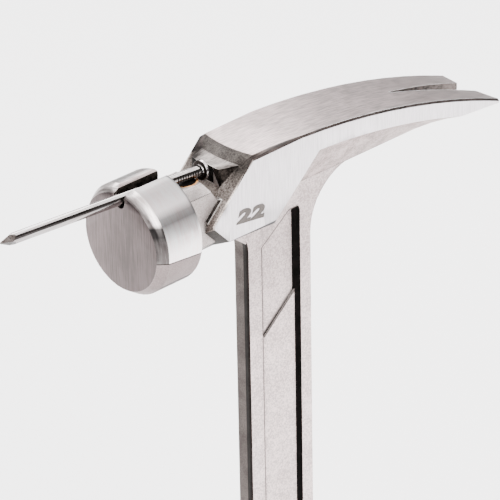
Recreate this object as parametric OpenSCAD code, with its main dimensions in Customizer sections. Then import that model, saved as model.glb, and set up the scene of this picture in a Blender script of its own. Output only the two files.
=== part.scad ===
// Framing hammer: a one-piece steel forging with a magnetic nail starter, a nail held in it,
// and a cushioned grip on the lower end of the I-section shank.
// The butt's flat underside is at Z = 0, the shank stands on the Z axis,
// the striking face looks along -X and the claw points along +X.

/* [Overall] */
// Height from the butt to the top front edge of the head
overall_len = 381; // [340:1:420]
// Striking face to claw tip
head_len = 148.4; // [140:0.2:156]
// Width of the head over its two ground side faces, half way back
head_w = 24; // [22:0.2:27]

/* [Bell] */
// Diameter of the bell
bell_d = 34.8; // [32:0.2:38]
// Diameter of the flat striking face
face_d = 30.8; // [27:0.2:31.4]
// Length of the bevel round the striking face
face_bevel = 3.1; // [2:0.1:4.5]
// Length of the bell from the face to its back
bell_len = 17.2; // [15:0.2:19]
// Radius on the back edge of the bell
bell_back_r = 2; // [1:0.1:3]

/* [Nail starter] */
// Diameter of the nail's shank
nail_d = 3.4; // [3:0.1:3.8]
// Length of the nail over its head
nail_len = 78.2; // [70:0.1:90]
// Diameter of the nail's head
nail_head_d = 6; // [5.6:0.1:7.4]
// Thickness of the nail's head
nail_head_t = 1.1; // [0.8:0.1:1.6]
// Room between the nail's head and the anvil behind it
nail_room = 1.2; // [0.05:0.05:2]
// Angle by which the nail's point rises above the bell's axis
nail_tilt = 4; // [2:0.1:5]
// Height of the nail's head above the bell's axis
nail_z = 11.7; // [11.2:0.1:12.2]
// Room left round the nail where it lies in the forging
nail_gap = 0.3; // [0.2:0.05:0.5]
// Width of the groove through the top of the bell
groove_w = 4.4; // [4:0.1:5.4]
// Height of the groove's floor above the bell's axis
groove_z = 11.2; // [10.6:0.1:12]
// Bevel along the groove's top edges
groove_bevel = 0.9; // [0.4:0.1:1.4]
// Diameter of the magnet in the neck
magnet_d = 7.8; // [6:0.1:8.4]
// Length of the magnet
magnet_len = 6; // [4:0.1:8]
// Wall of the brass sleeve round the magnet
sleeve_wall = 0.5; // [0.4:0.05:0.8]
// Running clearance between parts that slide together
fit_gap = 0.05; // [0.03:0.01:0.1]

/* [Neck and anvil] */
// Width of the neck behind the bell
neck_w = 16.2; // [15:0.2:17.6]
// Height of the neck behind the bell
neck_h = 21.8; // [21.4:0.2:22.6]
// Bevel on the neck's four long edges
neck_bevel = 2.5; // [2:0.1:3]
// Distance from the striking face to the anvil behind the nail's head
anvil_x = 34; // [33.6:0.1:35]
// Distance from the striking face to the slot across the neck for the nail's head
slot_x = 27.4; // [26.6:0.1:28.4]
// Height of the slot's floor above the bell's axis
slot_z = 5.3; // [4.8:0.1:6.4]
// Width of the anvil's front
anvil_front_w = 11.6; // [10:0.2:13]
// Width of the anvil where it meets the cheek
anvil_back_w = 16.4; // [15:0.2:18]
// Height of the anvil's top above the bell's axis
anvil_z = 13.2; // [12.6:0.1:13.6]

/* [Cheeks and claw] */
// Distance from the striking face to the top front edge
crown_x = 43.4; // [42:0.1:45]
// Height of the top front edge above the bell's axis
crown_z = 16.1; // [15:0.1:17]
// Drop of the claw tips below the bell's axis
tip_drop = 1.8; // [0:0.1:4]
// Radius of the curve along the top of the head
crown_r = 278; // [255:1:320]
// Slope of the cheek's front face
front_slope = 45; // [42:0.5:48]
// Radius of the cheek's front face across its width
front_r = 60; // [45:1:90]
// Fine bevel along the two top edges
top_bevel = 0.6; // [0.3:0.1:0.8]
// Wide bevel at the two front ends of the top edges
front_bevel = 1.9; // [1.2:0.1:2.4]
// Length of the V notch between the claws
notch_len = 34.8; // [32:0.1:40]
// Width of the V notch at its mouth
notch_w = 8; // [6.8:0.1:8.6]
// Distance by which the claws' outer corners lead their inner ones
tip_sweep = 1.9; // [1:0.1:3]
// Angle by which each side face spreads towards the claw tips
side_taper = 0.5; // [0:0.1:0.8]
// Height of the claw's narrow underside below the bell's axis
keel_z = 5.2; // [4.6:0.1:6]

/* [Shank] */
// Depth of the shank, face side to claw side
shank_depth = 27; // [25:0.2:29]
// Thickness of the shank
shank_t = 6.4; // [6:0.1:7.4]
// Distance from the striking face to the middle of the shank
shank_x = 60.9; // [60:0.1:62]
// Radius on the shank's long edges
shank_r = 1; // [0.5:0.1:1.5]
// Radius where the shank sweeps back into the claw
throat_r = 19; // [16:0.5:21]
// Radius where the shank sweeps forward into the neck
chin_r = 10; // [8:0.5:11]
// Width of the front flange beside the recess
front_flange = 5.7; // [5:0.1:6.4]
// Width of the rear flange beside the recess
rear_flange = 5; // [4.4:0.1:6]
// Depth of the recess above the step
recess_deep = 1.9; // [1.6:0.05:2.1]
// Depth of the recess below the step
recess_shallow = 1.4; // [1:0.05:1.55]

/* [Grip] */
// Length of the grip from the butt to the top of its cover
grip_len = 150; // [135:1:170]
// Depth of the grip at the palm swell
palm_depth = 38; // [36:0.5:42]
// Width of the grip at the palm swell
palm_w = 29; // [27:0.5:32]
// Depth of the grip at its two waists
waist_depth = 34.4; // [34:0.2:36]
// Width of the grip at its two waists
waist_w = 25; // [24:0.5:27]
// Depth of the flared butt
butt_depth = 44; // [40:0.5:48]
// Width of the flared butt
butt_w = 32; // [29:0.5:35]
// Depth of the guard at the top of the grip
guard_depth = 38.4; // [37:0.2:42]
// Width of the guard at the top of the grip
guard_w = 26.5; // [25:0.5:30]
// Thickness of the soft damping liner on the tang
liner_t = 1; // [0.8:0.1:1.4]
// Wall of the rigid core round the liner
core_wall = 1.8; // [1.5:0.1:2.1]
// Height of the core's collar above the cover
collar_len = 6; // [4:0.5:9]
// Thickness of the butt cap
cap_t = 3.5; // [3:0.1:5]
// Width of the cover's rim round the butt cap
cap_rim = 4.5; // [3.5:0.1:6]

/* [Hidden] */

// A cut runs this far past the surface that it opens
past = 1;
// Side of a block that is large enough to cut across the whole head
big = 100;
$fn = 48;

// Height of the bell's axis above the butt
bell_z = overall_len - crown_z;
bell_r = bell_d / 2;
half_w = head_w / 2;
half_t = shank_t / 2;
shank_front = shank_x - shank_depth / 2;
shank_rear = shank_x + shank_depth / 2;

// Corners of the side faces, as [distance behind the striking face, height above the bell's axis]
cheek_low = [front_at(-1.05), -1.05];
cheek_toe = [32.6, -7.9];
cheek_heel = [50.7, -8.6];
cheek_rear = [69.5, 8.8];
// Upright facet that blunts the cheeks' lower front corner: its distance behind the striking face, and its sweep
nose_x = 25.9;
nose_sweep = 0.27;
// How far the cheeks' front facet, and their lower and rear walls, spread for each mm in from the side face
facet_draft = 0.57;
wall_draft = 0.45;
// Where the claw's underside starts to rise to the tips
keel_end = [head_len - 20, -keel_z];
keel_half = half_t - 0.08;
// Thickness of the claw tips at the keel and at their outer corners
tip_t = 1.3;
corner_t = 1.2;
// Where the side face's lower edge turns to run out to the tip, and the bow of that edge before it
edge_turn = head_len - 17;
edge_bow = 2;

// Half the width over the side faces, a distance behind the striking face
function side_at(x) = half_w + (x - head_len * 0.64) * tan(side_taper);

// Distance behind the striking face of the front face's edge at a height
function front_at(z) = crown_x - (crown_z - z) / tan(front_slope);

function lerp(a, b, t) = a + (b - a) * t;

// Points along an arc about c, from angle a0 to a1
function arc(c, r, a0, a1, n = 16) =
    [for (i = [0:n]) c + r * [cos(lerp(a0, a1, i / n)), sin(lerp(a0, a1, i / n))]];

// Points that round the corner b between its neighbours a and c with radius r
function corner(a, b, c, r, n = 6) =
    let (u = (a - b) / norm(a - b), v = (c - b) / norm(c - b))
    let (half = acos(u * v) / 2, m = (u + v) / norm(u + v))
    let (o = b + m * r / sin(half), p = b + u * r / tan(half), q = b + v * r / tan(half))
    let (ap = atan2(p[1] - o[1], p[0] - o[0]), aq = atan2(q[1] - o[1], q[0] - o[0]))
    let (turn = (aq - ap) > 180 ? aq - ap - 360 : (aq - ap) < -180 ? aq - ap + 360 : aq - ap)
    [for (i = [0:n]) o + r * [cos(ap + turn * i / n), sin(ap + turn * i / n)]];

// Centre of the arc along the top of the head, through its front edge and the claw tips
crown_mid = ([crown_x, crown_z] + [head_len, -tip_drop]) / 2;
crown_chord = [head_len - crown_x, -tip_drop - crown_z];
crown_sag = sqrt(crown_r * crown_r - crown_chord * crown_chord / 4);
crown_c = crown_mid + crown_sag * [crown_chord[1], -crown_chord[0]] / norm(crown_chord);

// Lower edge of the side face along the claw, and the edge of the keel under it
function edge_at(x) =
    let (t = (x - cheek_rear[0]) / (edge_turn - cheek_rear[0]))
    t < 0
    ? [side_at(x), cheek_rear[1] - t * 4]
    : t < 1
      ? [side_at(x), lerp(cheek_rear[1], -tip_drop, t) + 4 * edge_bow * t * (1 - t)]
      : [side_at(x), lerp(-tip_drop, -tip_drop - corner_t, (x - edge_turn) / (head_len - edge_turn))];
function keel_at(x) =
    [keel_half, lerp(-keel_z, -tip_drop - tip_t, max(0, (x - keel_end[0]) / (head_len - keel_end[0])))];

// Point p of the line from p to q, moved d out to the line's right
function aside(p, q, d) = p + d / norm(q - p) * [q[1] - p[1], p[0] - q[0]];

// Where the line through p along u meets the line through q along v
function meet(p, u, q, v) = p + u * cross(q - p, v) / cross(u, v);

// Moves its children into the head's own frame: X from the striking face, Z from the bell's axis
module in_head() translate([-shank_x, 0, bell_z]) children();

// Extrudes a side-view outline across the hammer
module across(w) rotate([90, 0, 0]) linear_extrude(w, center = true) children();

// Places its children along the nail's line, from under its head to its point
module on_nail() translate([anvil_x - nail_head_t - nail_room, 0, nail_z]) rotate([0, nail_tilt - 90, 0]) children();

// A rounded bar section, depth along X
module bar(depth, thick, r) {
    for (x = [-1, 1], y = [-1, 1])
        translate([x * (depth / 2 - r), y * (thick / 2 - r)]) circle(r);
    square([depth, thick - 2 * r], center = true);
    square([depth - 2 * r, thick], center = true);
}

// Striking bell, turned about its own axis
module bell() {
    back = [bell_len - bell_back_r, bell_r - bell_back_r];
    rotate([0, 90, 0])
        rotate_extrude($fn = 96)
            polygon(concat([[0, 0], [face_d / 2, 0], [bell_r, face_bevel]],
                [for (p = arc(back, bell_back_r, 90, 0, 8)) [p[1], p[0]]],
                [[0, bell_len]]));
}

// Eight-sided neck between the bell and the cheeks, slotted across for the nail's head
module neck() {
    y = neck_w / 2;
    z = neck_h / 2;
    b = neck_bevel;
    difference() {
        translate([bell_len - past, 0, 0]) rotate([90, 0, 90]) linear_extrude(47 - bell_len)
            polygon([[-y, b - z], [b - y, -z], [y - b, -z], [y, b - z], [y, z - b], [y - b, z], [b - y, z], [-y, z - b]]);
        // the slot's front wall leans back as it goes down, and the cheeks' front face closes it behind
        across(head_w)
            polygon([[slot_x - 1.82, z + 3], [slot_x + (z - slot_z) * 0.607, slot_z], [48, slot_z], [48, z + 3]]);
    }
}

// Anvil block that backs up the nail's head
module anvil() {
    f = anvil_front_w / 2;
    b = anvil_back_w / 2;
    deep = front_at(anvil_z) - anvil_x;
    flare = (b - f) / deep;
    far = deep + 6;
    translate([anvil_x, 0, 0]) linear_extrude(anvil_z)
        polygon([[0, -f], [far, -f - flare * far], [far, f + flare * far], [0, f]]);
}

// Side-view outline of the cheeks, a distance in from the side faces
function cheek_outline(inset) =
    let (top = crown_z + 10, nose = cheek_low + (cheek_low - cheek_toe) * 0.6)
    let (u = cheek_toe - nose, v = cheek_heel - cheek_toe, w = cheek_rear - cheek_heel)
    let (p = aside(nose, cheek_toe, inset * facet_draft), q = aside(cheek_toe, cheek_heel, inset * wall_draft))
    let (r = aside(cheek_heel, cheek_rear, inset * wall_draft), low = meet(p, u, q, v), heel = meet(q, v, r, w))
    concat([[front_at(top) - 6, top], p, low], corner(low, heel, heel + w, 1.4, 4), [r + w * 1.9]);

// Cheeks, whose walls spread from the side faces in to the neck and the web
module cheek_block() {
    hull() {
        across(head_w + 2) polygon(cheek_outline(-1));
        across(shank_t) polygon(cheek_outline(half_w - half_t));
    }
}

// Claw, full width along its top and narrowed by a slope on each side down to its keel
module claw_block() {
    difference() {
        across(head_w + 2)
            polygon([[44, crown_z + 10], [44, -keel_z], keel_end, lerp(keel_end, [head_len, -tip_drop - tip_t], 1.2),
                     [head_len + 5, crown_z + 10]]);
        for (s = [0, 1]) mirror([0, s, 0]) flank_cut();
    }
}

// Everything outside the slope on one side of the claw
module flank_cut() {
    lap = 0.15;
    xs = concat([42, 56], [for (i = [0:16]) lerp(cheek_rear[0], edge_turn, i / 16)], [head_len, head_len + 6]);
    n = len(xs);
    function ring(x) =
        let (e = edge_at(x), k = keel_at(x), d = (e - k) / norm(e - k), low = k - d * lap, high = e + d * lap)
        [[x, low[0], low[1]], [x, high[0], high[1]], [x, high[0] + 4, high[1]], [x, high[0] + 4, low[1] - 6],
         [x, low[0], low[1] - 6]];
    polyhedron([for (x = xs) each ring(x)], concat(
        [[4, 3, 2, 1, 0]],
        [for (i = [0:n - 2], j = [0:4]) each
            let (a = 5 * i + j, b = 5 * i + (j + 1) % 5) [[a, b + 5, a + 5], [a, b, b + 5]]],
        [[for (j = [5:-1:1]) 5 * n - j]]), convexity = 4);
}

// Places its children in the front face's own frame: X in from the face, Z up its slope
module on_front() translate([crown_x, 0, crown_z]) rotate([0, 90 - front_slope, 0]) children();

// Narrow facets that join the front face to the sides of the neck
module shoulders() {
    rise = 0.85;
    on_front() translate([0, 0, -24]) linear_extrude(8.2)
        polygon([[front_sag, -neck_w / 2 - 1.2], [front_sag, neck_w / 2 + 1.2], [-0.24, neck_w / 2 + 0.75],
                 [-0.3 - rise, neck_w / 2 - 0.1], [-0.3 - rise, 0.1 - neck_w / 2], [-0.24, -neck_w / 2 - 0.75]]);
}

// Cheeks and claw, trimmed to the top, the front face, the side faces and the claw tips
module cheeks_and_claw() {
    tip_in = head_len - tip_sweep;
    difference() {
        intersection() {
            union() {
                cheek_block();
                claw_block();
            }
            // top of the head, a true arc
            translate([crown_c[0], 0, crown_c[1]]) rotate([90, 0, 0])
                cylinder(r = crown_r, h = big, center = true, $fn = 360);
            // front face, slightly rounded across
            on_front() translate([front_r - front_sag, 0, 0])
                cylinder(r = front_r, h = 3 * big, center = true, $fn = 180);
            // side faces, swept ends of the claws, and the upright facet at the lower front corner
            linear_extrude(big, center = true) polygon([
                [nose_x, -neck_w / 2], [nose_x + nose_sweep * 3, -side_at(nose_x)], [head_len, -side_at(head_len)],
                [tip_in, -notch_w / 2], [tip_in, notch_w / 2], [head_len, side_at(head_len)],
                [nose_x + nose_sweep * 3, side_at(nose_x)], [nose_x, neck_w / 2]]);
        }
        // V notch
        linear_extrude(big, center = true)
            let (root = tip_in - notch_len, grow = (notch_w / 2 - 0.3) / notch_len, far = notch_len + 10)
                polygon([[root, -0.3], [root + far, -0.3 - grow * far], [root + far, 0.3 + grow * far], [root, 0.3]]);
        for (s = [0, 1]) mirror([0, s, 0]) {
            // fine bevel along the top edge
            translate([crown_c[0], 0, crown_c[1]]) rotate([90, 0, 0]) rotate([0, side_taper, 0])
                translate([0, 0, -side_at(crown_c[0])]) rotate_extrude($fn = 360)
                    polygon([[crown_r - top_bevel - past, -past], [crown_r + past, -past],
                             [crown_r + past, top_bevel + past]]);
            // wide bevel at the front end of that edge
            translate([crown_x, half_w - front_bevel, crown_z]) rotate([-40, 0, 2])
                translate([-20, -20, 0]) cube([big, 40, 20]);
        }
    }
}
front_sag = front_r - sqrt(front_r * front_r - (half_w - front_bevel) * (half_w - front_bevel));

// Web in the plane of the shank. The shank's rounded edges run on along its sweeps into the claw and the neck
module web() {
    chin_top = -neck_h / 2 - chin_r;
    throat = [shank_rear + throat_r, -keel_z - throat_r];
    chin = [shank_front - chin_r, chin_top];
    in_by = 2 * shank_r;
    across(shank_t) {
        polygon(concat([[shank_x, 0], [shank_x, throat[1]]], arc(throat, throat_r + in_by, 180, 90, 20),
            [[throat[0], 0]]));
        polygon(concat([[shank_x + 1, 0], [chin[0], 0]], arc(chin, chin_r + in_by, 90, 0, 12),
            [[shank_x + 1, chin_top]]));
    }
    sweep(throat, throat_r, 90);
    sweep(chin, chin_r, 0);
    // front half of the shank between the two sweeps' lower ends
    translate([shank_x, 0, throat[1]]) linear_extrude(chin_top - throat[1]) intersection() {
        bar(shank_depth, shank_t, shank_r);
        translate([-shank_depth, -half_t]) square([shank_depth + 1, shank_t]);
    }
}

// Quarter turn of the shank's edge section about c, with its rounded edge at radius r
module sweep(c, r, from) {
    depth = 3 * shank_r;
    translate([c[0], 0, c[1]]) rotate([90, 0, 0]) rotate([0, 0, from]) rotate_extrude(angle = 90, $fn = 96) {
        translate([r, shank_r - half_t]) square([depth, shank_t - 2 * shank_r]);
        translate([r + shank_r, -half_t]) square([depth - shank_r, shank_t]);
        for (s = [-1, 1]) translate([r + shank_r, s * (half_t - shank_r)]) circle(shank_r);
    }
}

// Recess in both sides of the shank, cut to a steeper depth above a slanting step
module recess(depth, low, high) {
    front = shank_front + front_flange;
    rear = shank_rear - rear_flange;
    floor_y = half_t - depth;
    outline = concat([[front, low], [rear, low]], corner([rear, low], [rear, high[1]], [front, high[1]], 1.6),
        corner([rear, high[1]], high, [front, -21.6], 1), [[front, -21.6]]);
    intersection() {
        across(head_w) polygon(outline);
        for (s = [0, 1]) mirror([0, s, 0])
            translate([0, 0, low]) linear_extrude(-low)
                polygon([[front + depth, floor_y], [rear - depth, floor_y], [rear, half_t], [rear, half_w],
                         [front, half_w], [front, half_t]]);
    }
}

module forged_body() {
    shank_low = 20;
    recess_top = [65, -12.6];
    recess_low = grip_len - 12 - bell_z;
    step_at = -48;
    color("lightgray") difference() {
        union() {
            in_head() {
                bell();
                neck();
                anvil();
                cheeks_and_claw();
                shoulders();
                web();
            }
            translate([0, 0, shank_low])
                linear_extrude(bell_z - keel_z - throat_r - shank_low) bar(shank_depth, shank_t, shank_r);
        }
        in_head() {
            recess(recess_shallow, recess_low, recess_top);
            // the deeper part ends at a slanting step
            difference() {
                recess(recess_deep, -70, recess_top);
                translate([shank_x, 0, step_at]) rotate([0, -41, 0])
                    translate([-big / 2, -big / 2, -big]) cube([big, big, big]);
            }
            nail_groove();
            magnet_bore();
        }
    }
}

// Groove through the top of the bell, on along the neck under the nail, and round its head
module nail_groove() {
    r = groove_w / 2;
    top = bell_r - groove_bevel + 0.15;
    translate([-past, 0, 0]) rotate([90, 0, 90]) linear_extrude(bell_len + past) {
        translate([0, groove_z + r]) circle(r);
        translate([-r, groove_z + r]) square([2 * r, bell_r]);
        polygon([[-r, top - 0.35], [-r - 5, top + 4.65], [r + 5, top + 4.65], [r, top - 0.35]]);
    }
    on_nail() {
        cylinder(r = nail_d / 2 + nail_gap, h = nail_len);
        translate([0, 0, -nail_head_t - nail_room]) cylinder(r = nail_head_d / 2 + 0.4, h = 3 + nail_room);
    }
}

module magnet_bore() {
    r = magnet_d / 2 + sleeve_wall + 2 * fit_gap;
    translate([magnet_x, 0, neck_h / 2 - magnet_len - magnet_drop]) cylinder(r = r, h = magnet_len + magnet_drop + past);
}
magnet_x = 25;
magnet_drop = 0.7;

// Disc magnet that holds the nail's shank down
module starter_magnet() color("dimgray") in_head()
    translate([magnet_x, 0, neck_h / 2 - magnet_len - magnet_drop]) cylinder(d = magnet_d, h = magnet_len);

// Brass sleeve that lines the magnet's pocket, cut away under the nail
module magnet_sleeve() color("orange") in_head() difference() {
    translate([magnet_x, 0, neck_h / 2 - magnet_len - magnet_drop])
        cylinder(r = magnet_d / 2 + sleeve_wall + fit_gap, h = magnet_len + magnet_drop);
    translate([magnet_x, 0, neck_h / 2 - magnet_len - magnet_drop - past])
        cylinder(r = magnet_d / 2 + fit_gap, h = magnet_len + magnet_drop + 2 * past);
    on_nail() cylinder(r = nail_d / 2 + nail_gap, h = nail_len);
}

// Common nail with a flat head and a diamond point
module framing_nail() color("silver") in_head() on_nail() {
    point = 1.4 * nail_d;
    translate([0, 0, -nail_head_t]) cylinder(d = nail_head_d, h = nail_head_t);
    cylinder(d = nail_d, h = nail_len - nail_head_t - point);
    translate([0, 0, nail_len - nail_head_t - point]) intersection() {
        cylinder(d = nail_d, h = point);
        rotate(45) cylinder(r1 = nail_d * 0.72, r2 = 0.15, h = point, $fn = 4);
    }
}

// Soft sock over the tang that takes the sting out of a blow
module damping_liner() color("gold") {
    low = 18;
    difference() {
        translate([0, 0, low]) linear_extrude(grip_len + collar_len + 1 - low)
            bar(shank_depth + 2 * (liner_t + fit_gap), shank_t + 2 * (liner_t + fit_gap), shank_r + liner_t);
        translate([0, 0, 20 - fit_gap]) linear_extrude(grip_len)
            bar(shank_depth + 2 * fit_gap, shank_t + 2 * fit_gap, shank_r);
    }
}

core_depth = shank_depth + 2 * (liner_t + 2 * fit_gap + core_wall);
core_t = shank_t + 2 * (liner_t + 2 * fit_gap + core_wall);
liner_depth = shank_depth + 2 * (liner_t + 2 * fit_gap);
liner_w = shank_t + 2 * (liner_t + 2 * fit_gap);

// Rigid core inside the grip, with a collar that shows above the cover
module grip_core() color("dimgray") {
    low = cap_t + 4;
    difference() {
        translate([0, 0, low]) linear_extrude(grip_len + collar_len - low) bar(core_depth, core_t, 3);
        translate([0, 0, 18 - fit_gap]) linear_extrude(grip_len) bar(liner_depth, liner_w, shank_r + liner_t);
    }
}

// Stations of the cover from the butt up: share of the grip's length, depth and width
cover_form = [
    [0, butt_depth - 3, butt_w - 3],
    [0.03, butt_depth, butt_w],
    [0.1, butt_depth - 1, butt_w - 0.6],
    [0.3, waist_depth, waist_w],
    [0.56, palm_depth, palm_w],
    [0.83, waist_depth, waist_w],
    [0.95, guard_depth, guard_w],
    [1, guard_depth - 3, guard_w - 3]
];
// Distance by which the butt's flare leans towards the face side
butt_lean = 1.5;

function ease(t) = (1 - cos(180 * t)) / 2;

// Depth, width and lean of the cover at a share t of its length
function cover_at(t) =
    let (i = max([for (k = [0:len(cover_form) - 2]) cover_form[k][0] <= t ? k : 0]))
    let (a = cover_form[i], b = cover_form[i + 1], u = ease((t - a[0]) / (b[0] - a[0])))
    [lerp(a[1], b[1], u), lerp(a[2], b[2], u), -butt_lean * ease(max(0, 1 - t / 0.3))];

// One oval ring of the cover, fuller than an ellipse
function cover_ring(t, n) =
    let (s = cover_at(t), p = 0.84)
    [for (k = [0:n - 1]) let (a = 360 * k / n, c = cos(a), d = sin(a))
        [s[2] + s[0] / 2 * sign(c) * pow(abs(c), p), s[1] / 2 * sign(d) * pow(abs(d), p), t * grip_len]];

module cover_body() {
    n = 40;
    ts = [0, 0.008, 0.02, 0.03, 0.06, 0.1, 0.14, 0.18, 0.22, 0.26, 0.3, 0.35, 0.4, 0.45, 0.5, 0.56, 0.62, 0.68,
          0.73, 0.78, 0.83, 0.87, 0.91, 0.95, 0.975, 0.99, 1];
    m = len(ts);
    polyhedron([for (t = ts) each cover_ring(t, n)], concat(
        [[for (k = [0:n - 1]) k]],
        [for (i = [0:m - 2], k = [0:n - 1]) each
            let (a = i * n + k, b = i * n + (k + 1) % n) [[a, a + n, b + n], [a, b + n, b]]],
        [[for (k = [n - 1:-1:0]) (m - 1) * n + k]]), convexity = 4);
}

// Soft outer cover, moulded over the core
module grip_cover() color("darkslategray") difference() {
    cover_body();
    translate([0, 0, cap_t + 4 - fit_gap]) linear_extrude(grip_len) bar(core_depth + 2 * fit_gap, core_t + 2 * fit_gap, 3);
    translate([-butt_lean, 0, -past]) linear_extrude(cap_t + past)
        bar(butt_depth - 2 * cap_rim, butt_w - 2 * cap_rim, 9);
}

// Flat end cap set into the butt
module butt_cap() color("black") translate([-butt_lean, 0, 0]) linear_extrude(cap_t - fit_gap)
    bar(butt_depth - 2 * cap_rim - 2 * fit_gap, butt_w - 2 * cap_rim - 2 * fit_gap, 9 - fit_gap);

forged_body();
starter_magnet();
magnet_sleeve();
framing_nail();
damping_liner();
grip_core();
grip_cover();
butt_cap();
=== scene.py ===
"""Framing hammer: a ground and blasted steel forging, a bright nail in its starter, and a soft grip."""
import math

import bmesh
import bpy
from bpy.props import FloatProperty, FloatVectorProperty, PointerProperty
from mathutils import Matrix, Vector


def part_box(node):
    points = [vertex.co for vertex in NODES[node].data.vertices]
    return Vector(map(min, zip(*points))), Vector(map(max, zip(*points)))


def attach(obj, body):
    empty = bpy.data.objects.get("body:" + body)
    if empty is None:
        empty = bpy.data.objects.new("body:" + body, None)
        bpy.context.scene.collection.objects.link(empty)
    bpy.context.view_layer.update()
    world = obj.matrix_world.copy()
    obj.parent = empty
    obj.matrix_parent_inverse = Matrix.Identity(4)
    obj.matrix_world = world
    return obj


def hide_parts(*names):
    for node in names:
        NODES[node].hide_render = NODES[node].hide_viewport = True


bl_info = {
    "name": "Framing hammer",
    "version": (1, 0, 0),
    "blender": (4, 5, 0),
    "location": "View3D > Sidebar > Hammer",
    "description": "Dresses the framing hammer's frame with its finishes, mark, nail and grip",
    "category": "Object",
}

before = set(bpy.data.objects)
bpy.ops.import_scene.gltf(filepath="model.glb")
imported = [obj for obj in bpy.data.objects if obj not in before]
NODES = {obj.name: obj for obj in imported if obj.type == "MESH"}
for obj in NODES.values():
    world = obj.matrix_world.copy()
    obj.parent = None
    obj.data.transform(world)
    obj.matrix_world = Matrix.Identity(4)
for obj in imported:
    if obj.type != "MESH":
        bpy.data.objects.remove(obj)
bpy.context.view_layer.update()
MM = 0.001

# The head's own frame: X back from the striking face, Z up from the bell's axis, which is MAGNET_TOP below
# the magnet's top. Where nothing else is said, lengths are in millimetres and places are in this frame.
MAGNET_TOP = 10.2
MAGNET_LOW, MAGNET_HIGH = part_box("starter_magnet")
FACE_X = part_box("forged_body")[0][0] / MM
AXIS_Z = MAGNET_HIGH[2] / MM - MAGNET_TOP
MAGNET_X = (MAGNET_LOW[0] + MAGNET_HIGH[0]) / 2 / MM - FACE_X

# The bell. Its turned band ends at a line that starts at BELLY_Z and falls by BELLY_FALL a millimetre
# towards the back, with a dark line of scale and painted shade BELLY_LINE wide under it. TURNED_R is
# just inside the turned bevel.
BELL_R = 17.4
BELL_LEN = 17.2
FACE_BEVEL = 3.1
TURNED_R = 14.5
BELLY_Z = -1.4
BELLY_FALL = 0.1
BELLY_LINE = 0.35

# The cheeks: HALF_WIDTH from the middle plane at WIDTH_X, and SIDE_TAPER degrees a side towards the face.
# The bevel beside the crown starts at CROWN_X, with its foot at BEVEL_Z and BEVEL_FALL lower a millimetre.
HALF_WIDTH = 12
WIDTH_X = 94.976
SIDE_TAPER = 0.5
CROWN_X = 43
BEVEL_Z = 8
BEVEL_FALL = 0.3

# The shank, from just before its front edge to just behind its back one. It is alone between these X below
# CHEEK_FOOT, and everywhere below HEAD_FOOT.
SHANK_FRONT = 47
SHANK_BACK = 75
CHEEK_FOOT = -12
HEAD_FOOT = -45

# Painted shade lines on both sides of the shank, as (points (x, z), width, distance from the middle
# plane): up the recess's front edge from inside the grip and along its top, and one under its slanting step
RECESS_LINES = (
    (((53.1, 140 - AXIS_Z), (53.1, -21.4), (64.9, -12.7), (68.4, -12.7)), 0.34, 3.215),
    (((54.85, -53.8), (68, -42.4)), 0.75, 1.815),
)
# The legs of a line lap by LAP at their corners, and each stands LAP_RISE further out than the one before
LAP = 0.08
LAP_RISE = 0.004

# The nail: its head stands NAIL_ROOM off the anvil, which starts at ANVIL_X, and the middle of its wire
# leaves the head at NAIL_Z and runs to its point at NAIL_TILT degrees to the bell's axis
WIRE_R = 1.7
NAIL_HEAD_R = 3.15
NAIL_HEAD_T = 1.1
NAIL_LEN = 78.2
NAIL_TILT = 4
NAIL_Z = 11.7
NAIL_ROOM = 1.2
ANVIL_X = 34
POINT_LEN = 5.6
RING_SIDES = 32
# Its gripper marks: one a millimetre from GRIP_START under the head, each GRIP_WIDE wide and pressed in to
# GRIP_SHARE of the wire's radius
GRIP_START = 1.8
GRIP_COUNT = 9
GRIP_WIDE = 0.45
GRIP_SHARE = 0.94
# Faces of the nail may reach this far past the frame's nail
NAIL_PLAY = 0.5

# The number on the cheek: its lower left corner, half its width, the fall and length of its slanting line,
# and how far it stands out of the cheek. MARK_SHEAR and what follows shape its digits, in font units.
MARK_X = 35.2
MARK_Z = -3.6
MARK_MIDDLE = 6
MARK_FALL = 1.5
MARK_RUN = 11.6
MARK_THICK = 0.015
MARK_SHEAR = 0.12
MARK_WEIGHT = 0.07
MARK_SPACING = 1.16
MARK_EXTRUDE = 0.01

# The cover's ribs stand between grooves that are RIB_PITCH apart, the lowest RIB_LOW above the ground. A
# groove is flat within RIB_FLAT of its middle, ends at RIB_END and is up to RIB_DEEP deep. The cover's bore
# lies within BORE_X and BORE_Y of its middle.
RIB_LOW = 38
RIB_PITCH = 5
RIB_COUNT = 18
RIB_FLAT = 0.6
RIB_END = 1.3
RIB_DEEP = 1.2
BORE_X = 16.5
BORE_Y = 6.3

# Painted shade reaches this far from a corner of the steel, and a polymer's tone changes over this length
CORNER_SHADE = 1.5
POLYMER_CLOUD = 9

# The soft lights, as (name, the panel's power for it, place in metres, width in metres)
SOFTBOXES = (
    ("overhead_softbox", "key", (0.7, 0.05, 1.5), 2.6),
    ("rear_softbox", "rear", (0.4, 0.95, 1.45), 1.2),
    ("front_softbox", "front", (-0.25, -1.2, 1.5), 1.5),
)
# The room's light rises from SKY_DIM of its strength at the height SKY_LOW to all of it at SKY_HIGH, with 1
# straight up
SKY_DIM = 0.14
SKY_LOW = 0.36
SKY_HIGH = 0.8
SKY_TINT = (1, 0.985, 0.98, 1)
# The floor reaches this far each way, in metres, and lies this far under the hammer, in millimetres
FLOOR_REACH = 6
FLOOR_GAP = 0.2

# The camera: degrees round from the hammer's side, up, and rolled, and millimetres from the striking face,
# whose middle stands FACE_ASIDE to the right of the picture's middle and FACE_BELOW below it
VIEW_TURN = 43.3
VIEW_RISE = 28.65
VIEW_ROLL = 1.12
VIEW_FAR = 1000
FACE_ASIDE = -37.42029
FACE_BELOW = -2.231884
LENS = 248.4
SENSOR = 36

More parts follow.
